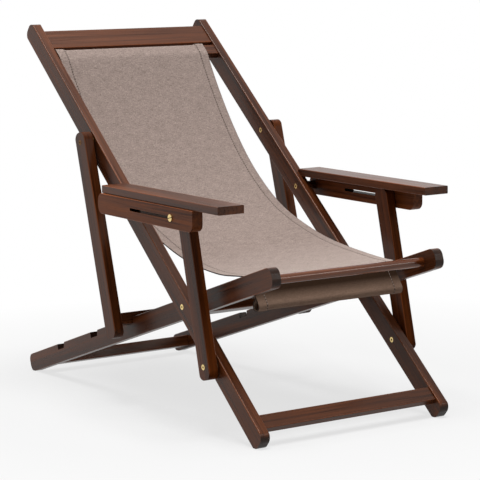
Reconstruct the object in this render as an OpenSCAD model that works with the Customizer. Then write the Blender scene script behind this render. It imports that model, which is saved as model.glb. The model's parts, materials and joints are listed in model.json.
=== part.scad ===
// Wooden deck chair with a slung canvas seat and folding arms.
// X runs across the chair, the sitter faces -Y and Z is up. The floor is z = 0.
// Left and right are as seen from in front of the chair: left is -X.

/* [Frame] */
// Width over the two back rails
frame_w = 560; // [480:5:640]
// Lean of the back rails from the floor
back_angle = 41; // [38:0.5:46]
// Rise of the seat rails towards the front
seat_angle = 17.2; // [14:0.1:20]
// Height of the main pivot over the floor
pivot_h = 297.5; // [285:0.5:315]
// Round on the corners of every rail end
end_round = 20; // [10:1:24]
// Softening along every long edge
edge_round = 2.5; // [1:0.5:4]

/* [Back rails] */
// Depth of a back rail
rail_w = 52; // [46:1:60]
// Thickness of a back rail
rail_t = 26; // [20:1:32]
// Main pivot to the upper rail end
back_len = 1033; // [980:1:1100]
// Main pivot to the prop pivot
prop_pivot_at = 585; // [560:1:610]
// Main pivot to the arm pivot
arm_pivot_at = 364.5; // [345:0.5:385]
// Main pivot down to the post pivot
post_pivot_at = 190.5; // [170:0.5:210]

/* [Seat rails] */
// Depth of a seat rail
seat_rail_w = 51; // [46:1:58]
// Thickness of a seat rail
seat_rail_t = 25; // [20:1:30]
// Main pivot to the front rail end
seat_front = 375; // [350:1:400]
// Gap between a seat rail and a back rail
seat_gap = 1.5; // [1:0.1:3]
// Rear wall of the first notch, behind the main pivot
notch_at = 346.5; // [335:0.5:360]
// Spacing of the notches
notch_pitch = 205; // [180:1:230]
// Number of notches in a seat rail
notch_count = 3; // [2:1:3]
// Depth of a notch
notch_depth = 16; // [10:0.5:20]
// Length of a notch floor
notch_floor = 37; // [36.8:0.1:44]
// How far the front wall of a notch leans open
notch_lean = 6; // [4:0.5:10]

/* [Prop frame] */
// Depth of a prop
prop_w = 51; // [44:1:54]
// Thickness of a prop
prop_t = 27; // [22:1:30]
// Prop pivot to the lower prop end
prop_len = 520; // [505:1:540]
// Gap between a prop and a back rail
prop_gap = 4.5; // [1.5:0.1:6]
// Length of the prop crossbar's section along the rail
prop_bar_w = 36; // [30:0.1:36.2]
// Height of the prop crossbar
prop_bar_h = 30; // [24:1:36]

/* [Arms] */
// Depth of a post
post_w = 48.5; // [42:0.5:52]
// Thickness of a post
post_t = 26; // [20:1:30]
// Gap between a post and a back rail
post_gap = 6; // [4:0.5:8]
// Thickness of a slotted bracket
bracket_t = 29; // [22:1:32]
// Gap between a bracket and a post
bracket_gap = 2.8; // [1.5:0.1:4]
// Arm pivot to the front bracket end
bracket_len = 438.8; // [410:0.2:460]
// Dip of the arm towards the front
arm_dip = 1.3; // [0:0.1:3]
// Arm pivot to the slot screw
slot_screw_at = 340; // [325:1:350]
// Length of the slot
slot_len = 205; // [180:1:230]
// Width of the slot
slot_w = 7.4; // [7.2:0.1:9]
// Length of an arm board
board_len = 551; // [500:1:600]
// Width of an arm board
board_w = 72.8; // [66:0.2:80]
// Thickness of an arm board
board_t = 20; // [16:1:24]
// How far a board sits in from the outer face of its bracket
board_inset = 4; // [0:0.5:6]

/* [Bars] */
// Width of the top board
top_board_w = 70; // [60:1:80]
// Lower edge of the top board, from the main pivot
top_board_at = 928; // [915:1:940]
// Width of the bar that carries the top of the sling
sling_bar_w = 36; // [30:1:40]
// Slit between that bar and the top board
slit = 12; // [8:0.5:15]
// Width of the foot crossbar
foot_bar_w = 40; // [34:1:46]
// Near edge of the foot crossbar, from the main pivot
foot_bar_at = 366.5; // [350:0.5:375]
// Thickness of the flat bars
bar_t = 20; // [16:1:22]
// Set-back of the flat bars from the front faces of the rails
bar_set = 4; // [2:0.5:6]
// Diameter of the round front bar
dowel_d = 23.2; // [20:0.2:28]
// Main pivot to the round front bar
dowel_at = 320.6; // [312:0.2:330]
// Front edge of the bar that carries the front of the sling
front_bar_at = 222; // [205:1:290]
// Width of the front sling bar and the floor crossbar
low_bar_w = 40; // [34:1:46]
// Height of the floor crossbar's section
floor_bar_t = 31; // [24:1:34]
// Rear edge of the floor crossbar, behind the main pivot
floor_bar_at = 895; // [880:1:905]
// Width of the seat crossbar near the main pivot
seat_bar_w = 60; // [50:1:70]
// Rear edge of that crossbar, behind the main pivot
seat_bar_at = 10; // [0:1:20]
// Length of each tenon and dowel end
tenon = 12; // [8:1:16]

/* [Bolts] */
// Shank diameter of the pivot bolts
bolt_d = 8; // [6:0.5:10]
// Head diameter of the pivot bolts
head_d = 14; // [11:0.5:16]
// Head thickness of the pivot bolts
head_t = 2.5; // [2:0.1:4]
// How far an outer head stands proud
head_proud = 0.6; // [0.2:0.1:1.5]
// Shank diameter of the slot screws
screw_d = 6.8; // [5:0.1:7]
// Head diameter of the slot screws
screw_head_d = 17.5; // [14:0.5:20]
// Outer diameter of the pivot washers
washer_d = 24; // [20:1:30]
// Outer diameter of the spacers at the posts
post_washer_d = 30; // [24:1:34]

/* [Canvas] */
// Width of the sling at the front
sling_w = 432; // [380:2:444]
// How much further left the sling reaches at the top
sling_flare = 33; // [0:1:35]
// Thickness of the canvas
canvas_t = 2; // [1:0.5:3]
// Fullness of the sag below the top bar
sag_top = 0.44; // [0.35:0.01:0.55]
// Fullness of the sag behind the front bar
sag_front = 0.42; // [0.3:0.01:0.5]
// Slope of the canvas below the top bar
sag_angle = 62; // [58:0.2:70]
// Diameter of the loose dowels in the hems
hem_dowel_d = 16; // [12:1:18]
// Outer diameter of the front hem pocket
pocket_d = 25; // [23:1:30]
// Length of the loose dowels
hem_dowel_len = 410; // [360:2:430]

/* [View] */
// Node to draw, or all

/* [Hidden] */
$fn = 48;
shank_fit = 0.05;
wood_fit = 0.1;
canvas_fit = 0.3;
open_fit = 0.3;
foot_flat = 0.8;
reach = 3000;

// Faces of the layers, from the centre out to one side
back_out = frame_w / 2;
back_in = back_out - rail_t;
seat_out = back_in - seat_gap;
seat_in = seat_out - seat_rail_t;
prop_in = back_out + prop_gap;
prop_out = prop_in + prop_t;
post_in = back_out + post_gap;
post_out = post_in + post_t;
bracket_in = post_out + bracket_gap;
bracket_out = bracket_in + bracket_t;
board_out = bracket_out - board_inset;
board_in = board_out - board_w;

// Rails reach the floor, where their lower ends are levelled flat
foot_len = end_round + (pivot_h + foot_flat - end_round
    - (rail_w / 2 - end_round) * cos(back_angle)) / sin(back_angle);
seat_rear = end_round + (pivot_h + foot_flat - end_round
    - (seat_rail_w / 2 - end_round) * cos(seat_angle)) / sin(seat_angle);

// The chair is centred on x = 0 and y = 0
seat_corner = (seat_rail_w / 2 - end_round) * sin(seat_angle) + end_round;
y_front = -(seat_front - end_round) * cos(seat_angle) - seat_corner;
y_rear = (seat_rear - end_round) * cos(seat_angle) + seat_corner;
pivot_y = -(y_front + y_rear) / 2;

// Points of the side view, from the main pivot
function back_pt(s, n) = [
    s * cos(back_angle) - n * sin(back_angle),
    s * sin(back_angle) + n * cos(back_angle)];
function seat_pt(r, n) = [
    r * cos(seat_angle) + n * sin(seat_angle),
    -r * sin(seat_angle) + n * cos(seat_angle)];

// The prop leans from its pivot to the middle of its bar in the first notch
notch_base = seat_rail_w / 2 - notch_depth;
bar_rear = notch_at - open_fit;
bar_low = notch_base + open_fit;
bar_centre = seat_pt(bar_rear - prop_bar_w / 2, bar_low + prop_bar_h / 2);
prop_run = back_pt(prop_pivot_at, 0) - bar_centre;
prop_angle = atan2(prop_run[1], prop_run[0]);
prop_top = prop_w / 2 + 1;

// The post runs from its pivot to the screw in the arm's slot
bracket_h = rail_w + 1;
bracket_rear = 20;
post_top = post_w / 2;
post_end = 32;
arm_pt = back_pt(arm_pivot_at, 0);
slot_pt = arm_pt - slot_screw_at * [cos(arm_dip), sin(arm_dip)];
post_run = slot_pt - back_pt(-post_pivot_at, 0);
post_angle = atan2(post_run[1], post_run[0]);
post_len = norm(post_run);
slot_front = slot_screw_at + slot_w;
board_rear = 5.6;
bevel_gap = 0.4;
arm_bolt_depth = bracket_t * 0.7;
arm_dowel_y = [-40, -230, -400];
arm_dowel_d = 8;
arm_dowel_len = 30;
arm_dowel_x = (bracket_in + board_out) / 2;

// Bars lie between the rails, measured along the rails
bar_front = rail_w / 2 - bar_set;
sling_bar_top = top_board_at - slit;
front_bar_top = seat_rail_w / 2 - 1;
front_bar_low = front_bar_top - bar_t;
floor_bar_top = 12;
floor_bar_low = floor_bar_top - floor_bar_t;
tenon_cheek = 4;
hub_d = 24;

// Puts a part in the frame of the back rails, the seat rails, a prop, an arm or a post
module on_back(s = 0) {
    translate([0, pivot_y, pivot_h])
        rotate([back_angle, 0, 0])
            translate([0, s, 0])
                children();
}

module on_seat(r = 0) {
    translate([0, pivot_y, pivot_h])
        rotate([-seat_angle, 0, 0])
            translate([0, r, 0])
                children();
}

module on_prop() {
    on_back(prop_pivot_at)
        rotate([prop_angle - back_angle, 0, 0])
            children();
}

module on_arm() {
    on_back(arm_pivot_at)
        rotate([arm_dip - back_angle, 0, 0])
            children();
}

module on_post() {
    on_back(-post_pivot_at)
        rotate([post_angle - back_angle, 0, 0])
            children();
}

// Repeats a part of the right side on the left
module both_sides() {
    children();
    mirror([1, 0, 0])
        children();
}

module side(right) {
    mirror([right ? 0 : 1, 0, 0])
        children();
}

// Stands a side view up between two values of x
module lay(x0, x1) {
    translate([x0, 0, 0])
        rotate([90, 0, 90])
            linear_extrude(x1 - x0)
                children();
}

// Square outline with a radius on each corner
module soft_square(x0, y0, x1, y1, r) {
    translate([x0 + r, y0])
        square([x1 - x0 - 2 * r, y1 - y0]);
    translate([x0, y0 + r])
        square([x1 - x0, y1 - y0 - 2 * r]);
    for (x = [x0 + r, x1 - r])
        for (y = [y0 + r, y1 - r])
            translate([x, y])
                circle(r);
}

// Length of wood along Y with softened long edges, between two x faces
module timber(y0, y1, z0, z1, x0, x1) {
    translate([0, y1, 0])
        rotate([90, 0, 0])
            linear_extrude(y1 - y0)
                soft_square(x0, z0, x1, z1, edge_round);
}

// Length of wood along X with softened long edges
module cross_timber(x0, x1, y0, z0, y1, z1) {
    lay(x0, x1)
        soft_square(y0, z0, y1, z1, edge_round);
}

// Rail with rounded ends, centred on its own axis
module rail(y0, y1, w, x0, x1, r = end_round) {
    intersection() {
        timber(y0 - 1, y1 + 1, -w / 2, w / 2, x0, x1);
        lay(x0 - 1, x1 + 1)
            soft_square(y0, -w / 2, y1, w / 2, r);
    }
}

module drill(d, x0, x1, y = 0, z = 0) {
    translate([x0, y, z])
        rotate([0, 90, 0])
            cylinder(d = d, h = x1 - x0);
}

module below_floor() {
    translate([-reach / 2, -reach / 2, -reach])
        cube([reach, reach, reach]);
}

// Tenons on both ends of a bar and the mortise that takes one of them
module tenons(x, y0, z0, y1, z1) {
    both_sides()
        translate([x - 1, y0 + tenon_cheek, z0 + tenon_cheek])
            cube([tenon + 1, y1 - y0 - 2 * tenon_cheek, z1 - z0 - 2 * tenon_cheek]);
}

module mortise(x, y0, z0, y1, z1) {
    cheek = tenon_cheek - wood_fit;
    translate([x - 1, y0 + cheek, z0 + cheek])
        cube([tenon + 1.5, y1 - y0 - 2 * cheek, z1 - z0 - 2 * cheek]);
}

// Flat bar between a pair of rails
module flat_bar(x, y0, z0, y1, z1) {
    cross_timber(-x, x, y0, z0, y1, z1);
    tenons(x, y0, z0, y1, z1);
}

// Bolt along X with a head at x1, and at x0 if it has two
module bolt(x0, x1, inner_head = true) {
    difference() {
        union() {
            drill(bolt_d, x0, x1);
            bolt_head(x1 - head_t, x1);
            if (inner_head)
                bolt_head(x0, x0 + head_t);
        }
        drill_hex(x1 - head_t / 2, x1 + 1);
        if (inner_head)
            drill_hex(x0 - 1, x0 + head_t / 2);
    }
}

module bolt_head(x0, x1) {
    drill(head_d, x0, x1);
}

module drill_hex(x0, x1) {
    translate([x0, 0, 0])
        rotate([0, 90, 0])
            cylinder(d = head_d * 0.42, h = x1 - x0, $fn = 6);
}

module head_recess(x0, x1) {
    drill(head_d + 2 * wood_fit, x0, x1);
}

module ring(d, x0, x1) {
    difference() {
        drill(d, x0, x1);
        drill(bolt_d + 2 * shank_fit, x0 - 1, x1 + 1);
    }
}

// Back rails
module back_rail() {
    shank = bolt_d + 2 * shank_fit;
    difference() {
        on_back()
            rail(-foot_len, back_len, rail_w, back_in, back_out);
        on_back() {
            for (s = [0, prop_pivot_at, arm_pivot_at, -post_pivot_at])
                translate([0, s, 0])
                    drill(shank, back_in - 1, back_out + 1);
            for (s = [prop_pivot_at, arm_pivot_at, -post_pivot_at])
                translate([0, s, 0])
                    head_recess(back_in - 1, back_in + head_t + open_fit);
            head_recess(back_out - head_t + head_proud, back_out + 1);
            mortise(back_in, top_board_at, bar_front - bar_t, top_board_at + top_board_w, bar_front);
            mortise(back_in, sling_bar_top - sling_bar_w, bar_front - bar_t, sling_bar_top, bar_front);
            mortise(back_in, -foot_bar_at - foot_bar_w, bar_front - bar_t, -foot_bar_at, bar_front);
        }
        below_floor();
    }
}

module long_rail_left() {
    color("#5b4036") side(false) back_rail();
}

module long_rail_right() {
    color("#5b4036") side(true) back_rail();
}

module top_board() {
    color("#6b4a42")
        on_back(top_board_at)
            flat_bar(back_in, 0, bar_front - bar_t, top_board_w, bar_front);
}

module sling_bar() {
    color("#63433a")
        on_back(sling_bar_top)
            flat_bar(back_in, -sling_bar_w, bar_front - bar_t, 0, bar_front);
}

module foot_crossbar() {
    color("#6b4a42")
        on_back(-foot_bar_at)
            flat_bar(back_in, -foot_bar_w, bar_front - bar_t, 0, bar_front);
}

// Main pivot
module frame_pivot_bolts() {
    color("#c9a86a")
        on_back()
            both_sides()
                bolt(seat_in + open_fit, back_out + head_proud);
}

module frame_pivot_washers() {
    color("#b08d55")
        on_back()
            both_sides()
                ring(washer_d, seat_out + open_fit, back_in);
}

// Prop frame
module prop_pivot_bolts() {
    color("#c9a86a")
        on_back(prop_pivot_at)
            both_sides()
                bolt(back_in + open_fit, prop_out + head_proud);
}

module prop_pivot_washers() {
    color("#b08d55")
        on_back(prop_pivot_at)
            both_sides()
                ring(washer_d, back_out, prop_in - open_fit);
}

module prop() {
    difference() {
        on_prop()
            rail(-prop_len, prop_top, prop_w, prop_in, prop_out, prop_w / 2 - edge_round);
        on_prop() {
            drill(bolt_d + 2 * shank_fit, prop_in - 1, prop_out + 1);
            head_recess(prop_out - head_t + head_proud - open_fit, prop_out + 1);
        }
        on_seat()
            mortise(prop_in, bar_rear - prop_bar_w, bar_low, bar_rear, bar_low + prop_bar_h);
    }
}

module prop_left() {
    color("#5e443a") side(false) prop();
}

module prop_right() {
    color("#5e443a") side(true) prop();
}

module prop_crossbar() {
    color("#4d342c")
        on_seat(bar_rear)
            flat_bar(prop_in, -prop_bar_w, bar_low, 0, bar_low + prop_bar_h);
}

// Seat frame
module notch_cut(rear) {
    lay(seat_in - 1, seat_out + 1)
        polygon([
            [rear, notch_base],
            [rear, seat_rail_w],
            [rear - notch_floor - notch_lean * seat_rail_w / notch_depth, seat_rail_w],
            [rear - notch_floor - notch_lean, seat_rail_w / 2],
            [rear - notch_floor, notch_base]]);
}

module seat_rail() {
    difference() {
        on_seat()
            rail(-seat_front, seat_rear, seat_rail_w, seat_in, seat_out);
        on_seat() {
            drill(bolt_d + 2 * shank_fit, seat_in - 1, seat_out + 1);
            head_recess(seat_in - 1, seat_in + head_t + 2 * open_fit);
            for (i = [0 : notch_count - 1])
                notch_cut(notch_at + i * notch_pitch);
            translate([0, -dowel_at, 0])
                drill(dowel_d + 2 * wood_fit, seat_in - 1, seat_in + tenon + wood_fit);
            mortise(seat_in, -front_bar_at, front_bar_low, low_bar_w - front_bar_at, front_bar_top);
            mortise(seat_in, seat_bar_at - seat_bar_w, -seat_rail_w / 2,
                seat_bar_at, bar_t - seat_rail_w / 2);
            mortise(seat_in, floor_bar_at - low_bar_w, floor_bar_low,
                floor_bar_at, floor_bar_top);
        }
        below_floor();
    }
}

module seat_rail_left() {
    color("#664a3c") side(false) seat_rail();
}

module seat_rail_right() {
    color("#664a3c") side(true) seat_rail();
}

module front_dowel() {
    color("#7a4a33")
        on_seat(-dowel_at)
            drill(dowel_d, -seat_in - tenon, seat_in + tenon);
}

module front_sling_bar() {
    color("#4d342c")
        on_seat(-front_bar_at)
            flat_bar(seat_in, 0, front_bar_low, low_bar_w, front_bar_top);
}

module seat_crossbar() {
    color("#4d342c")
        on_seat(seat_bar_at)
            flat_bar(seat_in, -seat_bar_w, -seat_rail_w / 2, 0, bar_t - seat_rail_w / 2);
}

module floor_crossbar() {
    color("#4d342c")
        on_seat(floor_bar_at)
            flat_bar(seat_in, -low_bar_w, floor_bar_low, 0, floor_bar_top);
}

// Arms
module arm_pivot_bolts() {
    color("#c9a86a")
        on_back(arm_pivot_at)
            both_sides()
                difference() {
                    union() {
                        drill(bolt_d, back_in + open_fit, bracket_in + arm_bolt_depth);
                        bolt_head(back_in + open_fit, back_in + open_fit + head_t);
                    }
                    drill_hex(back_in - 1, back_in + open_fit + head_t / 2);
                }
}

module arm_spacers() {
    color("#5b4036")
        on_back(arm_pivot_at)
            both_sides()
                ring(hub_d, back_out, bracket_in - open_fit);
}

module slot_outline(y0, y1) {
    translate([y0, -slot_w / 2])
        square([y1 - y0, slot_w]);
    for (y = [y0, y1])
        translate([y, 0])
            circle(d = slot_w);
}

module arm_bracket() {
    on_arm()
        difference() {
            union() {
                rail(-bracket_len, bracket_rear, bracket_h, bracket_in, bracket_out);
                timber(-bracket_len, -bracket_len + 2 * end_round, 0, bracket_h / 2,
                    bracket_in, bracket_out);
            }
            drill(bolt_d + 2 * shank_fit, bracket_in - 1, bracket_in + arm_bolt_depth + open_fit);
            lay(bracket_in - 1, bracket_out + 1)
                slot_outline(-slot_front + slot_w / 2, slot_len - slot_front - slot_w / 2);
            for (y = arm_dowel_y)
                arm_dowel_hole(y);
        }
}

module arm_dowel_hole(y) {
    translate([arm_dowel_x, y, bracket_h / 2 - arm_dowel_len / 2 - wood_fit])
        cylinder(d = arm_dowel_d + 2 * wood_fit, h = arm_dowel_len + 2 * wood_fit);
}

module arm_bracket_left() {
    color("#6a4736") side(false) arm_bracket();
}

module arm_bracket_right() {
    color("#6a4736") side(true) arm_bracket();
}

// The inner rear corner is bevelled parallel to the back rail
module arm_board() {
    difference() {
        on_arm()
            difference() {
                timber(board_rear - board_len, board_rear, bracket_h / 2, bracket_h / 2 + board_t,
                    board_in, board_out);
                for (y = arm_dowel_y)
                    arm_dowel_hole(y);
            }
        on_back()
            translate([back_in, 0, -rail_w])
                cube([back_out + bevel_gap - back_in, back_len, rail_w * 1.5 + bevel_gap]);
    }
}

module arm_board_left() {
    color("#75564c") side(false) arm_board();
}

module arm_board_right() {
    color("#75564c") side(true) arm_board();
}

module arm_dowels(right) {
    color("#a98a62")
        side(right)
            on_arm()
                for (y = arm_dowel_y)
                    translate([arm_dowel_x, y, bracket_h / 2 - arm_dowel_len / 2])
                        cylinder(d = arm_dowel_d, h = arm_dowel_len);
}

module arm_dowels_left() {
    arm_dowels(false);
}

module arm_dowels_right() {
    arm_dowels(true);
}

// Posts: the screw turns in the post's top end and slides in the bracket's slot
module slot_screw() {
    on_post()
        translate([0, post_len, 0])
            difference() {
                union() {
                    drill(screw_d, post_in + post_t / 3, bracket_out + open_fit);
                    drill(screw_head_d, bracket_out + open_fit, bracket_out + open_fit + head_t);
                }
                translate([bracket_out + open_fit + head_t / 2, -1, -screw_head_d])
                    cube([head_t, 2, 2 * screw_head_d]);
            }
}

module slot_screw_left() {
    color("#d3b272") side(false) slot_screw();
}

module slot_screw_right() {
    color("#d3b272") side(true) slot_screw();
}

module arm_post() {
    on_post()
        difference() {
            rail(-post_end, post_len + post_top, post_w, post_in, post_out);
            drill(bolt_d + 2 * shank_fit, post_in - 1, post_out + 1);
            head_recess(post_out - head_t + head_proud, post_out + 1);
            translate([0, post_len, 0])
                drill(screw_d + 2 * shank_fit, post_in + post_t / 3 - open_fit, post_out + 1);
        }
}

module arm_post_left() {
    color("#5e443a") side(false) arm_post();
}

module arm_post_right() {
    color("#5e443a") side(true) arm_post();
}

// The post bolt is in two halves that meet at the spacer, where the linkage is opened
module post_bolt_inner_half() {
    difference() {
        union() {
            drill(bolt_d, back_in + open_fit, post_in - open_fit);
            bolt_head(back_in + open_fit, back_in + open_fit + head_t);
        }
        drill_hex(back_in - 1, back_in + open_fit + head_t / 2);
    }
}

module post_pivot_bolts() {
    color("#c9a86a")
        on_back(-post_pivot_at)
            both_sides()
                post_bolt_inner_half();
}

module post_pivot_washers() {
    color("#8a6a4a")
        on_back(-post_pivot_at)
            both_sides()
                ring(post_washer_d, back_out, post_in - open_fit);
}

module post_bolt_outer_half() {
    on_post()
        difference() {
            union() {
                drill(bolt_d, post_in, post_out);
                bolt_head(post_out - head_t + head_proud, post_out + head_proud);
            }
            drill_hex(post_out + head_proud - head_t / 2, post_out + head_t);
        }
}

module post_nut_left() {
    color("#c9a86a") side(false) post_bolt_outer_half();
}

module post_nut_right() {
    color("#c9a86a") side(true) post_bolt_outer_half();
}

// Canvas: its side view is one strip that follows this path
skin = canvas_t / 2;
lift = canvas_fit + skin;
wrap = edge_round + lift;

function arc(centre, r, from, to, steps) = [
    for (i = [0 : steps])
        centre + r * [cos(from + (to - from) * i / steps), sin(from + (to - from) * i / steps)]];

function bezier(a, b, c, d, steps) = [
    for (i = [1 : steps - 1])
        let (t = i / steps, u = 1 - t)
            u * u * u * a + 3 * u * u * t * b + 3 * u * t * t * c + t * t * t * d];

function to_back(points) = [for (p = points) back_pt(p[0], p[1])];
function to_seat(points) = [for (p = points) seat_pt(p[0], p[1])];

// Hem round the loose top dowel, then over the sling bar
hem_r = hem_dowel_d / 2 + lift;
top_hem = [sling_bar_top + lift - hem_r, bar_front - bar_t - canvas_fit - skin - hem_r];
top_path = to_back(concat(
    arc(top_hem, hem_r, 40, 360, 20),
    arc([sling_bar_top - edge_round, bar_front - edge_round], wrap, 0, 90, 4),
    [[sling_bar_top - sling_bar_w + edge_round, bar_front + lift]]));

// Over the upper front edge of the front sling bar and down its front face
front_path = to_seat(concat(
    arc([edge_round - front_bar_at, front_bar_top - edge_round], wrap, 90 + seat_angle, 180, 6),
    [[-front_bar_at - lift, front_bar_low + edge_round]]));

// Front hem, which goes round a loose dowel and is sewn to itself above it
pocket_r = pocket_d / 2 - skin;
pocket_drop = 50;
pocket_lead = 19;
hang = front_path[len(front_path) - 1];
pocket_mid = hang - [pocket_lead, pocket_drop];
pocket_start = tangent(pocket_mid, pocket_r, hang, 1);
seam_gap = canvas_t + open_fit;
seam_at = 16;
seam_run = (hang - pocket_at(pocket_start)) / norm(hang - pocket_at(pocket_start));
seam = pocket_at(pocket_start) + seam_at * seam_run + seam_gap * [seam_run[1], -seam_run[0]];
pocket_path = concat(
    arc(pocket_mid, pocket_r, pocket_start, 360 + tangent(pocket_mid, pocket_r, seam, -1), 16),
    [seam]);

// Where the line from a point touches a circle, as an angle
function tangent(centre, r, p, turn) =
    let (d = p - centre) atan2(d[1], d[0]) + turn * acos(r / norm(d));
function pocket_at(angle) = pocket_mid + pocket_r * [cos(angle), sin(angle)];

sag_a = top_path[len(top_path) - 1];
sag_b = front_path[0];
sag_chord = norm(sag_a - sag_b);
sag_path = bezier(
    sag_a,
    sag_a - sag_chord * sag_top * [cos(sag_angle), sin(sag_angle)],
    sag_b + sag_chord * sag_front * [1, 0],
    sag_b,
    24);

sling_path = concat(top_path, sag_path, front_path, pocket_path);

// Unit normal of the path at one of its points, and the strip's two faces
function along(p, i) = p[min(i + 1, len(p) - 1)] - p[max(i - 1, 0)];
function normal(p, i) = let (d = along(p, i)) [-d[1], d[0]] / norm(d);
function face(p, h) = [for (i = [0 : len(p) - 1]) p[i] + h * normal(p, i)];
function reversed(p) = [for (i = [len(p) - 1 : -1 : 0]) p[i]];

// The left edge runs straight outwards from the front bar to the top bar
module sling() {
    flare = atan2(sling_flare, sag_chord);
    slope = atan2(sag_a[1] - sag_b[1], sag_a[0] - sag_b[0]);
    color("#a3928a")
        translate([0, pivot_y, pivot_h])
            difference() {
                lay(-sling_w / 2 - sling_flare - canvas_t, sling_w / 2)
                    polygon(concat(face(sling_path, skin), reversed(face(sling_path, -skin))));
                translate([-sling_w / 2, sag_b[0], sag_b[1]])
                    rotate([slope, 0, 0])
                        rotate([0, 0, flare])
                            translate([-reach, -reach / 2, -reach / 2])
                                cube([reach, reach, reach]);
            }
}

module top_hem_dowel() {
    centre = back_pt(top_hem[0], top_hem[1]);
    color("#6b4a42")
        translate([-sling_flare / 2, pivot_y + centre[0], pivot_h + centre[1]])
            drill(hem_dowel_d, -(hem_dowel_len + sling_flare) / 2, (hem_dowel_len + sling_flare) / 2);
}

module front_hem_dowel() {
    color("#6b4a42")
        translate([0, pivot_y + pocket_mid[0],
            pivot_h + pocket_mid[1] - pocket_r + lift + hem_dowel_d / 2])
            drill(hem_dowel_d, -hem_dowel_len / 2, hem_dowel_len / 2);
}

long_rail_left();
long_rail_right();
top_board();
sling_bar();
foot_crossbar();
frame_pivot_bolts();
frame_pivot_washers();
prop_pivot_bolts();
prop_pivot_washers();
arm_pivot_bolts();
arm_spacers();
post_pivot_bolts();
post_pivot_washers();
top_hem_dowel();
sling();
seat_rail_left();
seat_rail_right();
front_dowel();
front_sling_bar();
seat_crossbar();
floor_crossbar();
front_hem_dowel();
prop_left();
prop_right();
prop_crossbar();
arm_bracket_left();
arm_board_left();
arm_dowels_left();
arm_bracket_right();
arm_board_right();
arm_dowels_right();
slot_screw_left();
slot_screw_right();
arm_post_left();
post_nut_left();
arm_post_right();
post_nut_right();
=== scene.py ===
"""Looks of the wooden deck chair: wood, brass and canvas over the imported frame.

Metres in the row frame: X runs across the chair, the sitter faces -Y and Z is up.
"""

import json
import math
import random

import bpy
import numpy as np
from mathutils import Matrix, Vector, noise


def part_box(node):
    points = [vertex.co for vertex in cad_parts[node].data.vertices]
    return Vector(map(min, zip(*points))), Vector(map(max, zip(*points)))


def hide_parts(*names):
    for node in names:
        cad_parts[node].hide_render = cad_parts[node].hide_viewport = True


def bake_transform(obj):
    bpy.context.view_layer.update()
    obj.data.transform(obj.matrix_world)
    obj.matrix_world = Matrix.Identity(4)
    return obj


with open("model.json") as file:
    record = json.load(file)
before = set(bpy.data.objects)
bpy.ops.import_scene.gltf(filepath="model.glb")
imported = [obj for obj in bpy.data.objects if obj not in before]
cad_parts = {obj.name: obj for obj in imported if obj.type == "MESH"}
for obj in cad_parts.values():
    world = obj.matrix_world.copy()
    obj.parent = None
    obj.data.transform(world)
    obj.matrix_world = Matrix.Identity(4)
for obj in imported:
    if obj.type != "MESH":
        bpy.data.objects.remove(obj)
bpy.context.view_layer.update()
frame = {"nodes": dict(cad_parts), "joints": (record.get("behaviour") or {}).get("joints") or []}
nodes = frame["nodes"]
joints = {joint["name"]: joint for joint in frame["joints"]}
pivot = Vector(joints["frame_fold"]["pos_m"])
SIDES = ("left", "right")

# Lean of each family of pieces, in degrees from the floor towards the rear
BACK_LEAN = 41.0
SEAT_LEAN = -17.2
PROP_LEAN = 75.2
POST_LEAN = 77.5
ARM_LEAN = 1.3

# Stains, each as the colours of its darkest and lightest streaks
STAIN = ((0.024, 0.0056, 0.0014), (0.100, 0.0262, 0.0062))
WARM_STAIN = ((0.028, 0.0060, 0.0010), (0.112, 0.0262, 0.0042))
ARM_STAIN = ((0.042, 0.0100, 0.0025), (0.170, 0.0460, 0.0110))
DOWEL_STAIN = ((0.060, 0.0130, 0.0023), (0.175, 0.0430, 0.0085))
BARE_WOOD = ((0.20, 0.11, 0.06), (0.34, 0.2, 0.11))
# Painted shade: near-black streak colours for the faces inside an arm's slot
SLOT_SHADE = ((0.006, 0.002, 0.001), (0.012, 0.004, 0.002))

# Tint of the pores and the end grain, as shares of the dark streak, and of pale edges, partly abrasion and
# partly a painted highlight, of the light one
PORE_TINT = 0.3
END_TINT = 0.25
EDGE_TINT = 1.9

# Brass, bright or browned, and the dark colour given to the sockets of the heads
BRASS = (0.83, 0.62, 0.27)
BROWNED_BRASS = (0.17, 0.085, 0.035)
SOCKET_DARK = (0.045, 0.028, 0.012)
SOCKET_R = 0.0031

# An arm's slot stays this far from the ends and edges of its bracket
SLOT_FROM_END = 0.030
SLOT_FROM_EDGE = 0.012

# Painted shade on a post's outer face, behind the arm's slot, starts this far above the bracket's lower edge
POST_SHADE_UP = 0.008
POST_SHADE_FADE = 0.006
POST_SLOT_SHADE = (0.004, 0.0015, 0.001)

# Side view of the canvas, in the sizes of the part's own solid
RAIL_HALF = 0.026
SEAT_RAIL_HALF = 0.0255
BAR_SET = 0.004
BAR_T = 0.020
SLING_BAR_TOP = 0.916
SLING_BAR_W = 0.036
FRONT_BAR_AT = 0.222
FRONT_BAR_TOP = SEAT_RAIL_HALF - 0.001
EDGE_ROUND = 0.0025
LIFT = 0.0013
HEM_DOWEL_D = 0.016
POCKET_R = 0.0115
POCKET_DROP = 0.050
POCKET_LEAD = 0.019
SEAM_AT = 0.016
SEAM_GAP = 0.0023
SAG_TOP = 0.44
SAG_FRONT = 0.42
SAG_ANGLE = 62.0

# Half the canvas's width at the front, and how much further left it reaches at the top
SLING_HALF = 0.216
SLING_FLARE = 0.0371

# How far the canvas rises at its right edge and sinks at its left one, in front of its middle
SKEW_RIGHT = 0.0055
SKEW_LEFT = 0.0100

# Length along the cloth over which it comes free of a bar
FREE_WITHIN = 0.12

# Cloth, its side hems and how far they stand out over the sling bar
CLOTH_T = 0.0011
HEM_W = 0.0275
HEM_STEP = 0.0007
HEM_EXTRA = 0.0010
HEM_PROUD = 0.0022

# Sewing
STITCH_INSET = 0.0250
STITCH_PITCH = 0.0074
STITCH_LENGTH = 0.0042
STITCH_R = 0.0005
PUCKER_PITCH = 0.011

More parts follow.
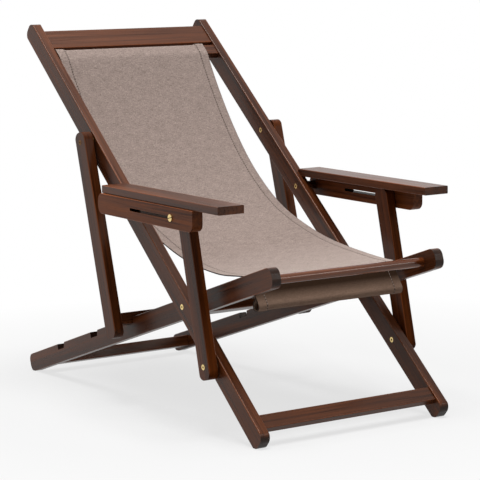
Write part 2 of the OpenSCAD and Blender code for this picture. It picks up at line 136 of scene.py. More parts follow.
# Mesh of the canvas: the step of its rows, its columns' places from each side edge, and those between
ROW_STEP = 0.004
HEM_EDGE_COLUMNS = (0.0, 0.0006, 0.0015, 0.006, 0.012, 0.018, 0.0225)
HEM_STEP_COLUMNS = (STITCH_INSET, HEM_W - HEM_STEP, HEM_W + HEM_STEP, 0.031, 0.036)
HEM_COLUMNS = np.array(HEM_EDGE_COLUMNS + HEM_STEP_COLUMNS)
BODY_COLUMNS = 38

# Colours of the canvas, its painted sheen and shade, and its thread
YARN = ((0.160, 0.121, 0.105), (0.350, 0.275, 0.243))
DARK_FLECK = (0.090, 0.064, 0.052)
PALE_FLECK = (0.54, 0.46, 0.42)
# Painted sheen on the seat near the front bar
SEAT_SHEEN = (0.56, 0.475, 0.43)
# Painted shade on the flap below the front bar, from its darkest at the top to its lightest lower down
FLAP_SHADE = ((0.060, 0.032, 0.014), (0.500, 0.395, 0.315))
SEAM_SHADE = (0.050, 0.035, 0.028)
HEM_EDGE_SHADE = (0.022, 0.015, 0.011)
THREAD = ((0.25, 0.20, 0.175), (0.38, 0.31, 0.275))
WEAVE_PITCH = 262.0

# Soft lamps: name, place, width and power
LAMPS = (
    ("top", (-0.3, -1.0, 7.3), 3.6, 720.0),
    ("front", (2.6, -4.0, 2.4), 0.9, 22.0),
    ("left", (-4.4, 1.1, 2.6), 4.0, 66.0),
)
LAMP_AIM = (0.0, 0.0, 0.45)

# Camera fitted to the chair's outlines in the photograph, with its angles in degrees
CAMERA_AT = (-2.6687, -4.2561, 1.0565)
CAMERA_AZIMUTH = 32.87
CAMERA_DIP = 7.75
CAMERA_ROLL = -1.37
CAMERA_LENS = 143.51
CAMERA_SHIFT = (-0.0092, 0.0298)


def rgba(colour, share=1.0):
    """The colour at a share of its strength, with no transparency."""
    return (*[share * c for c in colour], 1.0)


class Graph:
    """Adds shader nodes to a tree. Inputs are given by name or number, as sockets or plain values."""

    def __init__(self, tree):
        self.tree = tree

    def feed(self, node, inputs):
        """Sets a node's inputs, or links them."""
        for key, value in inputs.items():
            socket = node.inputs[key]
            if isinstance(value, bpy.types.NodeSocket):
                self.tree.links.new(value, socket)
            else:
                socket.default_value = value

    def node(self, kind, inputs, **settings):
        """Adds a node with its inputs and settings."""
        made = self.tree.nodes.new("ShaderNode" + kind)
        for key, value in settings.items():
            setattr(made, key, value)
        self.feed(made, inputs)
        return made

    def maths(self, operation, a, b=0.0):
        """One step of arithmetic on two values."""
        return self.node("Math", {0: a, 1: b}, operation=operation).outputs[0]

    def noise(self, vector, detail=3.0, rough=0.5, distortion=0.0):
        """Soft noise over the vector, about one lump to a unit."""
        made = self.node(
            "TexNoise",
            {"Vector": vector, "Scale": 1.0, "Detail": detail, "Roughness": rough, "Distortion": distortion},
        )
        return made.outputs[0]

    def stretch(self, vector, x, y, z):
        """The vector times a number for each axis."""
        made = self.node("VectorMath", {0: vector, 1: (x, y, z)}, operation="MULTIPLY")
        return made.outputs[0]

    def span(self, value, low, high, to_low=0.0, to_high=1.0):
        """Maps low and high to two other values, and holds those beyond them."""
        made = self.node(
            "MapRange",
            {"Value": value, "From Min": low, "From Max": high, "To Min": to_low, "To Max": to_high},
        )
        return made.outputs[0]

    def edges(self, part):
        """0 on flat faces and 1 on the rounded edge between them, from one part of the normal."""
        square = self.maths("MULTIPLY", part, part)
        return self.span(self.maths("MULTIPLY", square, self.maths("SUBTRACT", 1.0, square)), 0.02, 0.16)

    def mix(self, factor, a, b, blend="MIX"):
        """Colour a, with b over it by the factor."""
        made = self.node("Mix", {0: factor, 6: a, 7: b}, data_type="RGBA", blend_type=blend)
        return made.outputs[2]


class Surface(Graph):
    """Nodes of a new material, with its shader and its output at hand."""

    def __init__(self, name):
        self.material = bpy.data.materials.new(name)
        self.material.use_nodes = True
        super().__init__(self.material.node_tree)
        self.shader = self.tree.nodes["Principled BSDF"]
        self.output = self.tree.nodes["Material Output"]


def grain(g, along):
    """Fine streaks, broad bands and open pores, all drawn out along the wood."""
    streaks = g.noise(g.stretch(along, 130.0, 3.0, 130.0), 6.0, 0.62, 0.8)
    bands = g.noise(g.stretch(along, 22.0, 1.1, 22.0), 3.0, 0.5, 0.5)
    pores = g.noise(g.stretch(along, 1100.0, 26.0, 1100.0), 2.0, 0.5)
    return streaks, bands, g.span(pores, 0.60, 0.72, 0.0, 0.5)


def behind_slot(g, place, side, height):
    """1 on a post's outer face above the height, where it lies behind the arm's slot and gets painted shade.
    """
    place = g.node("SeparateXYZ", {0: place}).outputs
    outer = g.span(g.maths("MULTIPLY", place[0], side), 0.1, 0.2)
    return g.maths("MULTIPLY", outer, g.span(place[2], height, height + POST_SHADE_FADE))


def wood(
    name,
    lean,
    stain=STAIN,
    across=False,
    gloss=0.30,
    shine=0.20,
    front=None,
    ends=0.1,
    edge_wear_and_highlight=0.8,
    shade_above=None,
):
    """Stained wood on a piece that leans by that angle, with its grain along the piece or across the chair.

    gloss is its roughness, and shine its specular level, which front replaces on all but the side faces.
    ends says how much the end grain darkens, and the next argument how pale the edges turn, partly by
    abrasion and partly as a painted highlight.
    Above the given height, the outer face gets painted shade where it lies behind the arm's slot.
    """
    g = Surface(name)
    coord = g.node("TexCoord", {})
    tilt = (-math.radians(lean), 0.0, 0.0)
    turn = (0.0, 0.0, math.pi / 2) if across else tilt
    along = g.node("Mapping", {"Vector": coord.outputs["Object"], "Rotation": turn}).outputs[0]
    normal = g.node("Mapping", {"Vector": coord.outputs["Normal"], "Rotation": tilt}).outputs[0]
    side, end = g.node("SeparateXYZ", {0: normal}).outputs[:2]
    streaks, bands, pore = grain(g, along)

    dark, light = stain
    tone = g.maths("ADD", g.maths("MULTIPLY", streaks, 0.5), g.maths("MULTIPLY", bands, 0.5))
    colour = g.mix(g.span(tone, 0.38, 0.62), rgba(dark), rgba(light))
    colour = g.mix(pore, colour, rgba(dark, PORE_TINT))
    # Pale edges: partly abrasion, partly a painted highlight along the rounded edges
    wear_and_highlight = g.span(bands, 0.35, 0.6, 0.2 * edge_wear_and_highlight, edge_wear_and_highlight)
    worn_and_highlit = g.maths("MULTIPLY", g.edges(end if across else side), wear_and_highlight)
    colour = g.mix(worn_and_highlit, colour, rgba(light, EDGE_TINT))
    if not across:
        end_grain = g.span(g.maths("ABSOLUTE", end), 0.45, 0.75)
        colour = g.mix(g.maths("MULTIPLY", end_grain, ends), colour, rgba(dark, END_TINT))

    level = shine
    if front is not None:
        level = g.span(g.maths("ABSOLUTE", side), 0.3, 0.8, front, shine)
    if shade_above is not None:
        # Painted shade on the outer face behind the arm's slot, with its specular taken away
        slot_shade = behind_slot(g, coord.outputs["Object"], side, shade_above)
        colour = g.mix(slot_shade, colour, rgba(POST_SLOT_SHADE))
        level = g.maths("MULTIPLY", level, g.maths("SUBTRACT", 1.0, slot_shade))

    rough = g.span(streaks, 0.3, 0.7, gloss - 0.06, gloss + 0.10)
    relief = g.maths("SUBTRACT", g.maths("MULTIPLY", streaks, 0.5), pore)
    bump = g.node("Bump", {"Height": relief, "Strength": 0.10, "Distance": 0.0004}).outputs[0]
    g.feed(g.shader, {"Base Color": colour, "Roughness": rough, "Normal": bump})
    g.feed(g.shader, {"Specular IOR Level": level, "Specular Tint": (1.0, 0.96, 0.90, 1.0)})
    return g.material


def brass(name, base, rough):
    """Turned brass with fine marks and a little tarnish."""
    g = Surface(name)
    place = g.node("TexCoord", {}).outputs["Object"]
    marks = g.noise(g.stretch(place, 2500.0, 2500.0, 2500.0), 2.0)
    tarnish = g.noise(g.stretch(place, 260.0, 260.0, 260.0), 3.0, 0.6)
    colour = g.mix(g.span(tarnish, 0.45, 0.75, 0.0, 0.5), rgba(base), rgba(base, 0.5))
    roughness = g.span(marks, 0.3, 0.7, rough - 0.05, rough + 0.1)
    bump = g.node("Bump", {"Height": marks, "Strength": 0.1, "Distance": 0.0001}).outputs[0]
    g.feed(g.shader, {"Base Color": colour, "Roughness": roughness, "Normal": bump, "Metallic": 1.0})
    return g.material


def cloth_colour(g, cloth, slubs):
    """Yarn of uneven colour with dark and pale flecks."""
    cross = g.noise(g.stretch(cloth, 520.0, 150.0, 1.0), 2.0, 0.6)
    clouds = g.noise(g.stretch(cloth, 26.0, 50.0, 1.0), 3.0, 0.6)
    fleck = g.noise(g.stretch(cloth, 230.0, 640.0, 1.0), 4.0, 0.75)
    tone = g.maths("ADD", g.maths("MULTIPLY", slubs, 0.55), g.maths("MULTIPLY", cross, 0.30))
    tone = g.maths("ADD", tone, g.maths("MULTIPLY", clouds, 0.15))
    colour = g.mix(g.span(tone, 0.38, 0.62), rgba(YARN[0]), rgba(YARN[1]))
    colour = g.mix(g.span(fleck, 0.54, 0.68, 0.0, 0.80), colour, rgba(DARK_FLECK))
    return g.mix(g.span(fleck, 0.44, 0.30, 0.0, 0.65), colour, rgba(PALE_FLECK))


def sheen_and_flap_shade(g, colour, run, front_at):
    """Paints a sheen on the seat towards the front bar, and shade on the flap below it, darkest at its top.
    """
    # Painted sheen: the seat turns paler towards the front bar
    seat_sheen = g.span(run, front_at - 0.30, front_at - 0.02, 0.0, 0.26)
    colour = g.mix(seat_sheen, colour, rgba(SEAT_SHEEN))
    # Painted shade on the flap below the front bar, darkest at its top
    flap_shade = g.mix(g.span(run, front_at + 0.040, front_at + 0.074), rgba(FLAP_SHADE[0]), rgba(FLAP_SHADE[1]))
    flap_shaded = g.span(run, front_at + 0.012, front_at + 0.026)
    return g.mix(flap_shaded, colour, flap_shade, "MULTIPLY")


def seam_marks(g, inset, run):
    """Dimples between the stitches, and the groove that the seam draws, as masks for painted shade; the
    dimples also dent the bump.
    """
    off_seam = g.maths("ABSOLUTE", g.maths("SUBTRACT", inset, STITCH_INSET))
    beat = g.maths("COSINE", g.maths("MULTIPLY", run, 2 * math.pi / STITCH_PITCH))
    dimple = g.maths("MULTIPLY", g.span(off_seam, 0.0022, 0.0008), g.span(beat, 0.1, -0.5))
    groove = g.span(off_seam, 0.0022, 0.0006, 0.0, 0.62)
    return dimple, groove


def canvas(front_at):
    """Plain woven canvas in taupe with its seams. The front bar comes at front_at along the cloth."""
    g = Surface("canvas")
    cloth = g.node("UVMap", {}, uv_map="cloth").outputs[0]
    hem = g.node("UVMap", {}, uv_map="hem").outputs[0]
    inset, run = g.node("SeparateXYZ", {0: hem}).outputs[:2]
    slubs = g.noise(g.stretch(cloth, 70.0, 560.0, 1.0), 4.0, 0.7)
    # Painted sheen near the front bar and painted shade on the flap
    colour = sheen_and_flap_shade(g, cloth_colour(g, cloth, slubs), run, front_at)

    dimple, groove = seam_marks(g, inset, run)
    # Painted shade in the seam's dimples and groove
    colour = g.mix(g.maths("MAXIMUM", dimple, groove), colour, rgba(SEAM_SHADE))
    # Painted shade: a near-black line along the very edge of the hem
    colour = g.mix(g.span(inset, 0.0010, 0.0003, 0.0, 0.95), colour, rgba(HEM_EDGE_SHADE))

    warp = g.node("TexWave", {"Vector": cloth, "Scale": WEAVE_PITCH}, bands_direction="X").outputs[1]
    weft = g.node("TexWave", {"Vector": cloth, "Scale": WEAVE_PITCH}, bands_direction="Y").outputs[1]
    weave = g.maths("MULTIPLY", g.maths("SUBTRACT", warp, 0.5), g.maths("SUBTRACT", weft, 0.5))
    relief = g.maths("ADD", g.maths("MULTIPLY", weave, 1.6), g.maths("MULTIPLY", slubs, 0.8))
    relief = g.maths("SUBTRACT", relief, g.maths("MULTIPLY", dimple, 1.5))
    bump = g.node("Bump", {"Height": relief, "Strength": 0.4, "Distance": 0.0006}).outputs[0]
    g.feed(g.shader, {"Base Color": colour, "Normal": bump, "Roughness": 0.9})
    g.feed(g.shader, {"Specular IOR Level": 0.06, "Sheen Weight": 0.03, "Sheen Roughness": 0.5})
    return g.material


def thread():
    """Sewing thread in the colour of the canvas."""
    g = Surface("thread")
    place = g.node("TexCoord", {}).outputs["Object"]
    twist = g.noise(g.stretch(place, 3000.0, 3000.0, 3000.0), 2.0)
    colour = g.mix(g.span(twist, 0.35, 0.65), rgba(THREAD[0]), rgba(THREAD[1]))
    g.feed(g.shader, {"Base Color": colour, "Roughness": 0.7, "Specular IOR Level": 0.3})
    return g.material


def both(stem):
    """Names of the left and the right piece of a pair."""
    return [f"{stem}_{side}" for side in SIDES]


def paint(material, *names):
    """Gives CAD nodes a material all over."""
    for name in names:
        mesh = nodes[name].data
        mesh.materials.clear()
        mesh.materials.append(material)
        for face in mesh.polygons:
            face.material_index = 0


def repaint(name, material, chosen):
    """Gives those faces of a CAD node that are chosen another material."""
    mesh = nodes[name].data
    mesh.materials.append(material)
    last = len(mesh.materials) - 1
    for face in mesh.polygons:
        if chosen(face):
            face.material_index = last


def in_slot(name):
    """Tells which faces of an arm bracket lie in its slot."""
    low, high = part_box(name)

    def chosen(face):
        along = low[1] + SLOT_FROM_END < face.center.y < high[1] - SLOT_FROM_END
        level = low[2] + SLOT_FROM_EDGE < face.center.z < high[2] - SLOT_FROM_EDGE
        return along and level and abs(face.normal.x) < 0.5

    return chosen


def in_socket(name):
    """Tells which faces of bolts on one axis lie in the sockets of their heads."""
    low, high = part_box(name)

    def chosen(face):
        across = face.center.y - (low[1] + high[1]) / 2
        up = face.center.z - (low[2] + high[2]) / 2
        return math.hypot(across, up) < SOCKET_R

    return chosen


def paint_wood():
    """All the wooden pieces, with painted shade in the slots of the arms and on the posts behind them."""
    paint(wood("wood_back", BACK_LEAN, ends=0.85), *both("long_rail"))
    paint(wood("wood_seat", SEAT_LEAN, ends=0.85), *both("seat_rail"))
    paint(wood("wood_prop", PROP_LEAN, shine=0.18, front=0.07), *both("prop"))
    # Painted shade on the posts behind the arms' slots, from just above the brackets' lower edge
    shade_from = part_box("arm_bracket_left")[0][2] + POST_SHADE_UP
    post = wood("wood_post", POST_LEAN, WARM_STAIN, shine=0.18, front=0.02, shade_above=shade_from)
    paint(post, *both("arm_post"))
    paint(wood("wood_arm", ARM_LEAN, ARM_STAIN, shine=0.09), *both("arm_bracket"))
    paint(wood("wood_board", ARM_LEAN, shine=0.23), *both("arm_board"))

    back_bars = wood("wood_back_bars", BACK_LEAN, across=True, shine=0.23)
    paint(back_bars, "top_board", "sling_bar", "foot_crossbar")
    seat_bars = wood("wood_seat_bars", SEAT_LEAN, across=True, shine=0.23)
    paint(seat_bars, "prop_crossbar", "front_sling_bar", "seat_crossbar", "floor_crossbar")
    round_wood = wood("wood_round", 0.0, across=True, shine=0.23, edge_wear_and_highlight=0.0)
    paint(round_wood, "arm_spacers", "top_hem_dowel", "front_hem_dowel")
    dowel = wood("wood_dowel", 0.0, DOWEL_STAIN, across=True, gloss=0.18, shine=0.42, edge_wear_and_highlight=0.0)
    paint(dowel, "front_dowel")
    pale = wood("wood_pale", 0.0, BARE_WOOD, across=True, gloss=0.5, shine=0.23, edge_wear_and_highlight=0.0)
    paint(pale, "post_pivot_washers", *both("arm_dowels"))

    # Painted shade: the faces inside each arm's slot turn near black, with almost no specular
    slot = wood("wood_slot_shade", ARM_LEAN, SLOT_SHADE, shine=0.02, edge_wear_and_highlight=0.0)
    for name in both("arm_bracket"):
        repaint(name, slot, in_slot(name))


def paint_brass():
    """Bolts and washers. The prop bolts are browned on the props and bright inside the back rails."""
    bolts = [
        "frame_pivot_bolts",
        "arm_pivot_bolts",
        "post_pivot_bolts",
        *both("post_nut"),
        *both("slot_screw"),
    ]
    bright = brass("brass_bright", BRASS, 0.22)
    paint(bright, *bolts, "frame_pivot_washers", "prop_pivot_washers")
    paint(brass("brass_dull", BROWNED_BRASS, 0.6), "prop_pivot_bolts")
    rail_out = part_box("long_rail_right")[1][0]
    repaint("prop_pivot_bolts", bright, lambda face: abs(face.center.x) < rail_out)

    # The sockets of the heads get a dark colour
    socket_dark = brass("brass_socket", SOCKET_DARK, 0.6)
    for name in (*bolts, "prop_pivot_bolts"):
        repaint(name, socket_dark, in_socket(name))


def on_lean(lean, along, up):
    """Side-view point of a leaning frame, from the main pivot."""
    c = math.cos(math.radians(lean))
    s = math.sin(math.radians(lean))
    return np.array([along * c - up * s, along * s + up * c])


def arc(centre, radius, start, end, steps):
    """Points on a circle between two angles in degrees."""
    turns = np.radians(np.linspace(start, end, steps + 1))
    return [np.array([centre[0] + radius * math.cos(a), centre[1] + radius * math.sin(a)]) for a in turns]


def bezier(a, b, c, d, steps):
    """Points of the curve from a to d that b and c pull on, without its ends."""
    made = []
    for t in np.linspace(0.0, 1.0, steps + 1)[1:-1]:
        u = 1.0 - t
        made.append(u**3 * a + 3 * u * u * t * b + 3 * u * t * t * c + t**3 * d)
    return made


def spaced(points, step):
    """The same line with its points an even step apart, and how far along it each one is."""
    line = np.array(points)
    runs = np.concatenate([[0.0], np.cumsum(np.linalg.norm(np.diff(line, axis=0), axis=1))])
    at = np.linspace(0.0, runs[-1], int(round(runs[-1] / step)) + 1)
    return np.stack([np.interp(at, runs, line[:, k]) for k in (0, 1)], axis=1), at


def tangent(centre, radius, point, turn):
    """Angle at which a line from the point touches the circle, on the side that turn names."""
    across, up = point - centre
    return math.degrees(math.atan2(up, across) + turn * math.acos(radius / math.hypot(across, up)))


def smooth(value, low, high):
    """Smooth step from 0 at low to 1 at high."""
    t = np.clip((value - low) / (high - low), 0.0, 1.0)
    return t * t * (3.0 - 2.0 * t)


def nearest(line, point):
    """Number of the line's point that is nearest."""
    return int(np.argmin(np.linalg.norm(line - point, axis=1)))


def top_path():
    """Side view of the canvas round its top dowel and over the sling bar."""
    bar_front = RAIL_HALF - BAR_SET
    hem_r = HEM_DOWEL_D / 2 + LIFT
    hem = (SLING_BAR_TOP + LIFT - hem_r, bar_front - BAR_T - LIFT - hem_r)
    path = arc(hem, hem_r, 40, 360, 40)
    path += arc((SLING_BAR_TOP - EDGE_ROUND, bar_front - EDGE_ROUND), EDGE_ROUND + LIFT, 0, 90, 8)
    path += [np.array([SLING_BAR_TOP - SLING_BAR_W + EDGE_ROUND, bar_front + LIFT])]
    return [on_lean(BACK_LEAN, *p) for p in path]


def front_path():
    """Side view of the canvas over the front bar."""
    corner = (EDGE_ROUND - FRONT_BAR_AT, FRONT_BAR_TOP - EDGE_ROUND)
    path = arc(corner, EDGE_ROUND + LIFT, 90 - SEAT_LEAN, 180, 10)
    path += [np.array([-FRONT_BAR_AT - LIFT, FRONT_BAR_TOP - BAR_T + EDGE_ROUND])]
    return [on_lean(SEAT_LEAN, *p) for p in path]


def pocket_path(hang):
    """Side view of the pocket that hangs from a point, round the front dowel and back up to its seam."""
    middle = hang - np.array([POCKET_LEAD, POCKET_DROP])
    start = tangent(middle, POCKET_R, hang, 1)
    touch = middle + POCKET_R * np.array([math.cos(math.radians(start)), math.sin(math.radians(start))])
    strand = (hang - touch) / np.linalg.norm(hang - touch)
    seam = touch + SEAM_AT * strand + SEAM_GAP * np.array([strand[1], -strand[0]])
    return arc(middle, POCKET_R, start, 360 + tangent(middle, POCKET_R, seam, -1), 32) + [seam]


def sag_path(a, b):
    """Side view of the canvas that hangs free between the bars."""
    chord = np.linalg.norm(a - b)
    down = np.array([math.cos(math.radians(SAG_ANGLE)), math.sin(math.radians(SAG_ANGLE))])
    return bezier(a, a - chord * SAG_TOP * down, b + chord * SAG_FRONT * np.array([1.0, 0.0]), b, 80)


def sling_line():
    """Side view of the whole canvas as even points, how far along it they are, and its sag's two ends."""
    top = top_path()
    front = front_path()
    top_end = top[-1]
    front_start = front[0]
    path = top + sag_path(top_end, front_start) + front + pocket_path(front[-1])
    line, run = spaced(path, ROW_STEP)

    # The cloth is too stiff for a sharp bend where it leaves the sling bar
    bend = nearest(line, top_end)
    for _ in range(3):
        near = line[bend - 4:bend + 5]
        line[bend - 4:bend + 5] = (line[bend - 5:bend + 4] + 2 * near + line[bend - 3:bend + 6]) / 4
    return line, run, top_end, front_start


def unevenness(x, v):
    """Slow waves in the hanging cloth, broad and fine."""
    broad = 0.0016 * noise.noise(Vector((x * 5.0, v * 3.0, 1.7)))
    return broad + 0.0007 * noise.noise(Vector((x * 14.0, v * 9.0, 5.1)))


def half_thickness(inset):
    """Half the thickness of the cloth, which is more in the hem and a little less at its very edge."""
    at_hem = 1.0 - smooth(inset, HEM_W - HEM_STEP, HEM_W + HEM_STEP)
    return (CLOTH_T / 2 + HEM_EXTRA * at_hem) * (0.85 + 0.15 * smooth(inset, 0.0, 0.0012))


def pucker(inset, v):
    """Small gathers along the seam."""
    gathers = 0.00025 * math.sin(v * 2 * math.pi / PUCKER_PITCH)
    return gathers * math.exp(-(((inset - STITCH_INSET) / 0.004) ** 2))


def skew(share):
    """How far the right edge rises and the left one sinks, by the share of the way up from the front bar."""
    right = SKEW_RIGHT * smooth(share, 0.0, 0.14) * (1.0 - smooth(share, 0.32, 0.50))
    left = SKEW_LEFT * smooth(share, 0.0, 0.12) * (1.0 - smooth(share, 0.16, 0.42))
    return right, left


def sling_grids():
    """The canvas as two grids of points, its upper and its lower face.

    Also how far along the cloth each row is, how far in from the side edge each point is,
    and the two places along the cloth between which it hangs free.
    """
    line, run, top_end, front_start = sling_line()
    tangents = np.gradient(line, axis=0)
    tangents /= np.linalg.norm(tangents, axis=1)[:, None]
    normals = np.stack([tangents[:, 1], -tangents[:, 0]], axis=1)
    start = run[nearest(line, top_end)]
    stop = run[nearest(line, front_start)]

    # Share of the way from the front bar to the top bar
    chord = top_end - front_start
    share = (line - front_start) @ chord / (chord @ chord)
    left = -SLING_HALF - SLING_FLARE * np.minimum(share, 1.0)
    high, low = skew(share)
    free = np.clip((run - start) / FREE_WITHIN, 0.0, 1.0) * np.clip((stop - run) / FREE_WITHIN, 0.0, 1.0)
    proud = HEM_PROUD * smooth(run, start - 0.055, start - 0.035) * (1.0 - smooth(run, start, start + 0.05))

    fill = np.linspace(0.0, 1.0, BODY_COLUMNS + 2)[1:-1]
    wide = 2 * len(HEM_COLUMNS) + BODY_COLUMNS
    upper = np.zeros((len(run), wide, 3))
    lower = np.zeros((len(run), wide, 3))
    inset = np.zeros((len(run), wide))
    for i, v in enumerate(run):
        inner = left[i] + HEM_COLUMNS[-1] + (SLING_HALF - left[i] - 2 * HEM_COLUMNS[-1]) * fill
        xs = np.concatenate([left[i] + HEM_COLUMNS, inner, SLING_HALF - HEM_COLUMNS[::-1]])
        inset[i] = np.minimum(xs - left[i], SLING_HALF - xs)
        for j, x in enumerate(xs):
            sway = 0.0012 * noise.noise(Vector((v * 7.0, math.copysign(3.0, x), 9.0)))
            raised = proud[i] * (1.0 - smooth(inset[i, j], HEM_W - 0.004, HEM_W + 0.006))
            rightward = smooth(x, -SLING_HALF, SLING_HALF)
            off = free[i] * unevenness(x, v) + pucker(inset[i, j], v) + raised
            off += high[i] * rightward - low[i] * (1.0 - rightward)
            seat = line[i] + normals[i] * off
            here = x + free[i] * sway * (abs(x) / SLING_HALF) ** 4
            thick = half_thickness(inset[i, j])
            for grid, face in ((upper, 1.0), (lower, -1.0)):
                p = seat + normals[i] * face * thick
                grid[i, j] = (here, pivot.y + p[0], pivot.z + p[1])
    return run, upper, lower, inset, (start, stop)


def add_mesh(name, points, faces, material):
    """New smooth-shaded object in the scene."""
    mesh = bpy.data.meshes.new(name)
    mesh.from_pydata(points, [], faces)
    mesh.polygons.foreach_set("use_smooth", [True] * len(faces))
    mesh.materials.append(material)
    mesh.update()
    made = bpy.data.objects.new(name, mesh)
    bpy.context.scene.collection.objects.link(made)
    return made


def closed_sheet(name, run, upper, lower, inset, material):
    """Closed mesh between two grids of points.

    One UV map is in metres of cloth, and the other gives the distance from the nearest side edge.
    """
    count, wide = upper.shape[:2]
    points = np.concatenate([upper.reshape(-1, 3), lower.reshape(-1, 3)])
    base = count * wide

    def at(i, j, low):
        return (base if low else 0) + i * wide + j

    faces = []
    foot = count - 1
    end = wide - 1
    for i in range(foot):
        for j in range(end):
            faces.append((at(i, j, 0), at(i + 1, j, 0), at(i + 1, j + 1, 0), at(i, j + 1, 0)))
            faces.append((at(i, j, 1), at(i, j + 1, 1), at(i + 1, j + 1, 1), at(i + 1, j, 1)))
    for i in range(foot):
        faces.append((at(i, 0, 0), at(i, 0, 1), at(i + 1, 0, 1), at(i + 1, 0, 0)))
        faces.append((at(i, end, 0), at(i + 1, end, 0), at(i + 1, end, 1), at(i, end, 1)))
    for j in range(end):
        faces.append((at(0, j, 0), at(0, j + 1, 0), at(0, j + 1, 1), at(0, j, 1)))
        faces.append((at(foot, j, 0), at(foot, j, 1), at(foot, j + 1, 1), at(foot, j + 1, 0)))

    made = add_mesh(name, points.tolist(), faces, material)
    cloth = made.data.uv_layers.new(name="cloth")
    hem = made.data.uv_layers.new(name="hem")
    for loop in made.data.loops:
        i, j = divmod(loop.vertex_index % base, wide)
        cloth.data[loop.index].uv = (float(upper[i, j, 0]), float(run[i]))
        hem.data[loop.index].uv = (float(inset[i, j]), float(run[i]))
    return made


def cloth_point(grid, run, column, v):
    """Point of one column of the grid, that far along the cloth."""
    return np.array([np.interp(v, run, grid[:, column, k]) for k in range(3)])


def stitch_row(grid, other, run, column):
    """Ends and outward direction of each stitch in the seam that follows a column of the grid."""
    rows = []
    at = STITCH_PITCH
    while at < run[-1] - STITCH_PITCH:
        a = cloth_point(grid, run, column, at - STITCH_LENGTH / 2)
        b = cloth_point(grid, run, column, at + STITCH_LENGTH / 2)
        out = (a + b) / 2 - cloth_point(other, run, column, at)
        rows.append((a, b, out / np.linalg.norm(out)))
        at += STITCH_PITCH
    return rows


def stitches(name, rows, material):
    """One mesh of small rounded stitches that dip into the cloth at their ends."""
    rng = random.Random(4)
    sides = 6

    # Rings of a stitch: place along its length, share of its radius, and rise in radii
    half = ((0.5, 0.25, -0.7), (0.32, 0.9, 0.1))
    middle = (0.0, 1.0, 0.45)
    profile = (*[(-along, size, rise) for along, size, rise in half], middle, *half[::-1])
    points = []
    faces = []
    for a, b, out in rows:
        run = b - a
        length = np.linalg.norm(run)
        run /= length
        side = np.cross(run, out)
        slant = rng.uniform(-0.12, 0.12)
        first = len(points)
        last = first + (len(profile) - 1) * sides
        for along, size, rise in profile:
            centre = (a + b) / 2 + run * along * length + out * STITCH_R * rise
            centre += side * slant * along * length
            for k in range(sides):
                turn = 2 * math.pi * k / sides
                around = side * math.cos(turn) + out * math.sin(turn)
                points.append(tuple(centre + around * STITCH_R * size))
        for ring in range(first, last, sides):
            for k in range(sides):
                n = (k + 1) % sides
                faces.append((ring + k, ring + n, ring + sides + n, ring + sides + k))
        faces.append(tuple(first + k for k in range(sides))[::-1])
        faces.append(tuple(last + k for k in range(sides)))
    return add_mesh(name, points, faces, material)


def hang_sling():
    """The canvas and its sewing, hung between the back frame and the seat frame."""
    run, upper, lower, inset, (sag_start, sag_stop) = sling_grids()
    sling = closed_sheet("canvas_sling", run, upper, lower, inset, canvas(sag_stop))
    rows = []
    for column in np.argsort(np.abs(inset[0] - STITCH_INSET))[:2]:
        rows += stitch_row(upper, lower, run, column)
        rows += stitch_row(lower, upper, run, column)
    sewing = stitches("sling_stitches", rows, thread())

    for piece in (sling, sewing):
        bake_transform(piece)
    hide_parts("sling")


def seen_plainly(g):
    """1 for camera, glossy and transmission rays, 0 for the rest."""
    path = g.node("LightPath", {})
    either = g.maths("MAXIMUM", path.outputs["Is Camera Ray"], path.outputs["Is Glossy Ray"])
    return g.maths("MAXIMUM", either, path.outputs["Is Transmission Ray"])


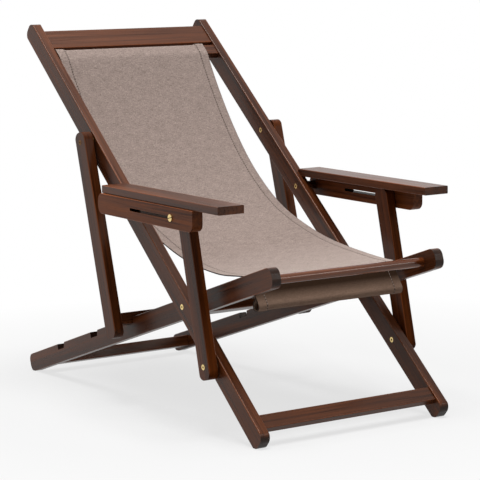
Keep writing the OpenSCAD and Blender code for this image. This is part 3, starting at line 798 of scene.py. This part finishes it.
def white_floor():
    """Floor that holds the chair's shadow near it and turns white further off."""
    bpy.ops.mesh.primitive_plane_add(size=40.0, location=(0.0, 0.0, 0.0))
    floor = bpy.context.object
    floor.name = "floor"
    g = Surface("floor")
    place = g.node("TexCoord", {}).outputs["Object"]
    away = g.node("VectorMath", {0: place}, operation="LENGTH").outputs["Value"]
    white = g.maths("MULTIPLY", seen_plainly(g), g.span(away, 0.7, 1.7, 0.72, 1.0))
    g.feed(g.shader, {"Base Color": (0.50, 0.50, 0.50, 1.0), "Roughness": 0.9, "Specular IOR Level": 0.0})
    glow = g.node("Emission", {"Color": (1.0, 1.0, 1.0, 1.0), "Strength": 1.0}).outputs[0]
    both_shaders = g.node("MixShader", {0: white, 1: g.shader.outputs[0], 2: glow}).outputs[0]
    g.feed(g.output, {"Surface": both_shaders})
    floor.data.materials.append(g.material)


def white_world():
    """Surroundings that look white and give little light."""
    world = bpy.data.worlds.new("studio")
    bpy.context.scene.world = world
    world.use_nodes = True
    g = Graph(world.node_tree)
    g.tree.nodes.clear()
    strength = g.span(seen_plainly(g), 0.0, 1.0, 0.12, 1.0)
    back = g.node("Background", {"Color": (1.0, 1.0, 1.0, 1.0), "Strength": strength}).outputs[0]
    g.node("OutputWorld", {"Surface": back})


def lamp(name, place, size, power):
    """Square lamp that is turned towards the chair."""
    data = bpy.data.lights.new(name, "AREA")
    data.shape = "SQUARE"
    data.size = size
    data.energy = power
    made = bpy.data.objects.new(name, data)
    made.location = place
    made.rotation_mode = "QUATERNION"
    made.rotation_quaternion = (Vector(LAMP_AIM) - Vector(place)).to_track_quat("-Z", "Y")
    bpy.context.scene.collection.objects.link(made)


def camera():
    """Camera at the photograph's viewpoint."""
    azimuth = math.radians(CAMERA_AZIMUTH)
    dip = math.radians(CAMERA_DIP)
    roll = math.radians(CAMERA_ROLL)
    forward = Vector((math.sin(azimuth) * math.cos(dip), math.cos(azimuth) * math.cos(dip), -math.sin(dip)))
    level = Vector((math.cos(azimuth), -math.sin(azimuth), 0.0))
    upright = level.cross(forward)
    right = math.cos(roll) * level + math.sin(roll) * upright
    up = math.cos(roll) * upright - math.sin(roll) * level
    data = bpy.data.cameras.new("photo")
    data.sensor_width = 36.0
    data.lens = CAMERA_LENS
    data.shift_x, data.shift_y = CAMERA_SHIFT
    data.clip_start = 0.1
    data.clip_end = 100.0
    made = bpy.data.objects.new("photo", data)
    turn = Matrix((right, up, -forward)).transposed().to_4x4()
    made.matrix_world = Matrix.Translation(CAMERA_AT) @ turn
    bpy.context.scene.collection.objects.link(made)
    bpy.context.scene.camera = made


paint_wood()
paint_brass()
hang_sling()
white_floor()
white_world()
for settings in LAMPS:
    lamp(*settings)
camera()
bpy.context.scene.view_settings.view_transform = "Standard"
